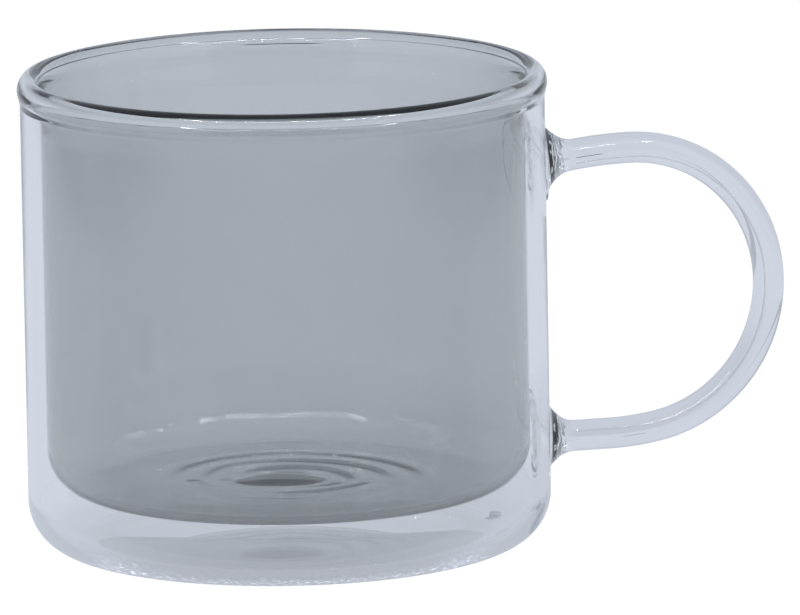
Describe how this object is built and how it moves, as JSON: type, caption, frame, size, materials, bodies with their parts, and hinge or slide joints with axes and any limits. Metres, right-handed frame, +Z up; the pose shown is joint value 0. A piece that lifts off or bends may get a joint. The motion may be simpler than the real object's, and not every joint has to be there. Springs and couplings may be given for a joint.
{
  "type": "double walled glass cup",
  "caption": "Double walled glass cup with a smoke grey bowl in a clear shell and a drawn glass handle.",
  "frame": {"origin": "on the axis of the cup, on the plane of the foot ring that it stands on", "axes": "+Z up along the axis of the cup, +X out through the handle, the handle's bends lie in the XZ plane"},
  "size_m": [0.1273, 0.0862, 0.0782],
  "materials": {
    "clear_glass": "clear borosilicate glass, fire polished",
    "smoke_glass": "smoke grey borosilicate glass, fire polished",
    "rod_glass": "clear drawn glass rod",
    "stopper": "translucent silicone"
  },
  "bodies": {
    "root": {"outer_shell": "clear_glass", "inner_bowl": "smoke_glass", "handle_rod": "rod_glass", "upper_weld": "rod_glass", "lower_weld": "rod_glass", "vent_stopper": "stopper"}
  },
  "joints": []
}
